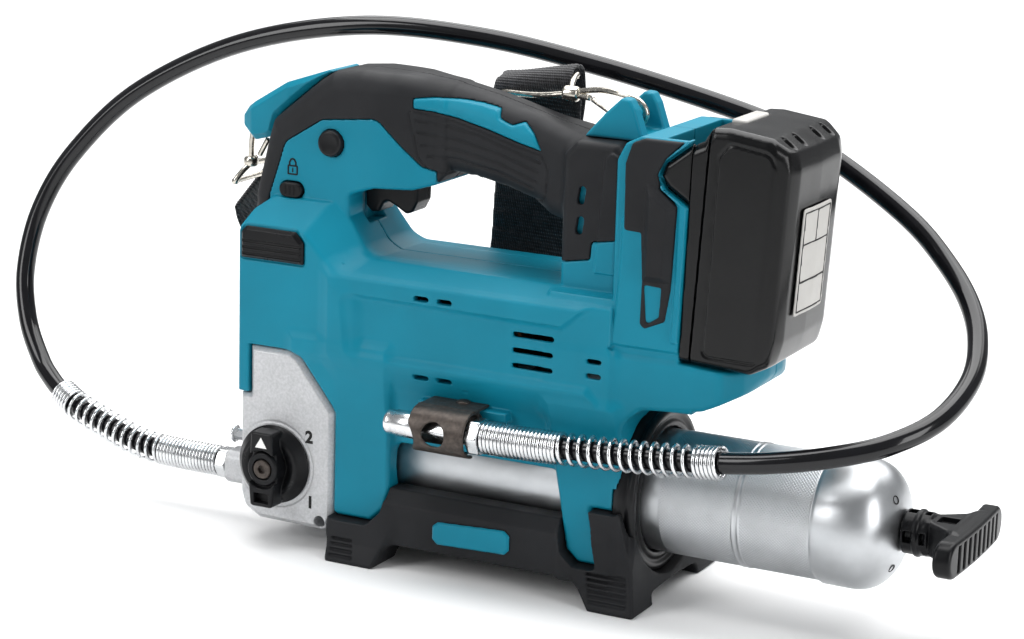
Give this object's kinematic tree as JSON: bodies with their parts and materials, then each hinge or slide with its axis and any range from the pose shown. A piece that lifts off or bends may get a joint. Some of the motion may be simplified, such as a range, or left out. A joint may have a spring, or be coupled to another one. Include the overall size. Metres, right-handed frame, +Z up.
{
  "type": "cordless grease gun",
  "caption": "Cordless grease gun with a hand grip, a plug-in battery, a grease barrel with rod handle and a hose held over the tool; it pumps grease to a fitting.",
  "frame": {"origin": "middle of the rear foot's sole, on the surface that the tool stands on", "axes": "+X along the barrel towards its rod handle, -Y towards the side with the selector knob, +Z up"},
  "size_m": [0.5605, 0.1517, 0.2591],
  "materials": {
    "teal_shell": "fine moulded texture, semi-matt",
    "overmould": "soft matt overmoulding",
    "black_plastic": "moulded, slightly glossy",
    "button_plastic": "light grey, satin",
    "cast_block": "die-cast, satin",
    "zinc_plate": "bright zinc plating",
    "steel_parts": "machined",
    "holder_steel": "dark brown-black coating, satin",
    "hose_rubber": "smooth and glossy",
    "winding": "enamelled copper",
    "webbing": "woven polyester webbing",
    "nickel_wire": "nickel plated"
  },
  "bodies": {
    "tool": {"housing_left": "teal_shell", "housing_right": "teal_shell", "front_lug_cap": "teal_shell", "rear_lug": "teal_shell", "stand_inset_left": "teal_shell", "stand_inset_right": "teal_shell", "grip_left": "overmould", "grip_right": "overmould", "bumper_left": "overmould", "bumper_right": "overmould", "stand": "overmould", "side_pad_left": "black_plastic", "side_pad_right": "black_plastic", "barrel_collar": "black_plastic", "switch_body": "black_plastic", "terminal_block": "black_plastic", "pump_block": "cast_block", "hose_adapter": "zinc_plate", "hose_guard_front": "zinc_plate", "hose_guard_rear": "zinc_plate", "hose_end_nut": "zinc_plate", "coupler_body": "zinc_plate", "coupler_sleeve": "zinc_plate", "plunger": "steel_parts", "plunger_spring": "steel_parts", "motor_can": "steel_parts", "bearing_plate": "steel_parts", "trigger_pin": "steel_parts", "housing_screw_1": "steel_parts", "housing_screw_2": "steel_parts", "housing_screw_3": "steel_parts", "hose_holder": "holder_steel", "hose": "hose_rubber", "strap": "webbing", "front_snap_hook": "nickel_wire", "rear_snap_hook": "nickel_wire"},
    "selector": {"selector_knob": "black_plastic", "knob_screw": "steel_parts", "selector_spool": "steel_parts"},
    "trigger_lever": {"trigger": "black_plastic"},
    "lock_off": {"lock_off_button": "black_plastic"},
    "lock_on": {"lock_on_button": "black_plastic"},
    "crank": {"crank_gear": "steel_parts", "crank_shaft": "steel_parts"},
    "idler": {"idler_gear": "steel_parts"},
    "rotor": {"armature": "winding", "motor_pinion": "winding", "cooling_fan": "black_plastic"},
    "barrel_tube": {"barrel": "zinc_plate", "follower_spring": "steel_parts"},
    "follower": {"follower_seal": "hose_rubber", "follower_plate": "zinc_plate", "follower_rod": "zinc_plate", "rod_handle": "black_plastic"},
    "battery": {"battery_case_inner": "black_plastic", "battery_case_outer": "black_plastic"},
    "battery_release": {"battery_button": "button_plastic"},
    "bleeder": {"air_bleeder": "zinc_plate"},
    "front_gate": {"front_hook_gate": "nickel_wire"},
    "rear_gate": {"rear_hook_gate": "nickel_wire"}
  },
  "joints": [
    {"name": "selector_turn", "type": "hinge", "parent": "tool", "child": "selector", "pos_m": [-0.1947, 0, 0.0416], "axis": [0, 1, 0], "range_deg": [0, 180]},
    {"name": "trigger_pull", "type": "hinge", "parent": "tool", "child": "trigger_lever", "pos_m": [-0.16, 0, 0.189], "axis": [0, -1, 0], "range_deg": [0, 13], "stiffness_Nm_per_rad": 0.2, "springref_deg": -34.38},
    {"name": "lock_off_slide", "type": "slide", "parent": "tool", "child": "lock_off", "axis": [0, 1, 0], "range_m": [0, 0.004]},
    {"name": "lock_on_push", "type": "slide", "parent": "tool", "child": "lock_on", "axis": [0, 1, 0], "range_m": [0, 0.0018], "stiffness_N_per_m": 300, "springref_m": -0.002},
    {"name": "crank_spin", "type": "hinge", "parent": "tool", "child": "crank", "pos_m": [-0.185, 0, 0.128], "axis": [1, 0, 0], "continuous": true},
    {"name": "idler_spin", "type": "hinge", "parent": "tool", "child": "idler", "pos_m": [-0.165, 0.01833, 0.111], "axis": [1, 0, 0], "continuous": true},
    {"name": "rotor_spin", "type": "hinge", "parent": "tool", "child": "rotor", "pos_m": [-0.105, 0, 0.119], "axis": [1, 0, 0], "continuous": true},
    {"name": "barrel_unscrew", "type": "hinge", "parent": "tool", "child": "barrel_tube", "pos_m": [-0.02, 0, 0.0505], "axis": [1, 0, 0], "range_deg": [0, 1170]},
    {"name": "rod_slide", "type": "slide", "parent": "barrel_tube", "child": "follower", "axis": [1, 0, 0], "range_m": [0, 0.2], "stiffness_N_per_m": 120, "springref_m": -0.12, "deforming": ["follower_spring"]},
    {"name": "battery_slide", "type": "slide", "parent": "tool", "child": "battery", "axis": [0.0523, 0, 0.9986], "range_m": [0, 0.075]},
    {"name": "battery_release_push", "type": "slide", "parent": "battery", "child": "battery_release", "axis": [-0.0523, 0, -0.9986], "range_m": [0, 0.003], "stiffness_N_per_m": 400, "springref_m": -0.003},
    {"name": "bleeder_push", "type": "slide", "parent": "tool", "child": "bleeder", "axis": [1, 0, 0], "range_m": [0, 0.002], "stiffness_N_per_m": 400, "springref_m": -0.002},
    {"name": "front_gate_open", "type": "hinge", "parent": "tool", "child": "front_gate", "pos_m": [-0.2298, 0, 0.1906], "axis": [0, -1, 0], "range_deg": [0, 25], "stiffness_Nm_per_rad": 0.01, "springref_deg": -34.38},
    {"name": "rear_gate_open", "type": "hinge", "parent": "tool", "child": "rear_gate", "pos_m": [-0.0464, 0.0072, 0.2362], "axis": [-0.3687, -0.9296, 0], "range_deg": [0, 20], "stiffness_Nm_per_rad": 0.01, "springref_deg": -34.38}
  ],
  "couplings": [
    {"joint": "idler_spin", "follows": "crank_spin", "ratio": -4},
    {"joint": "rotor_spin", "follows": "crank_spin", "ratio": 12}
  ]
}
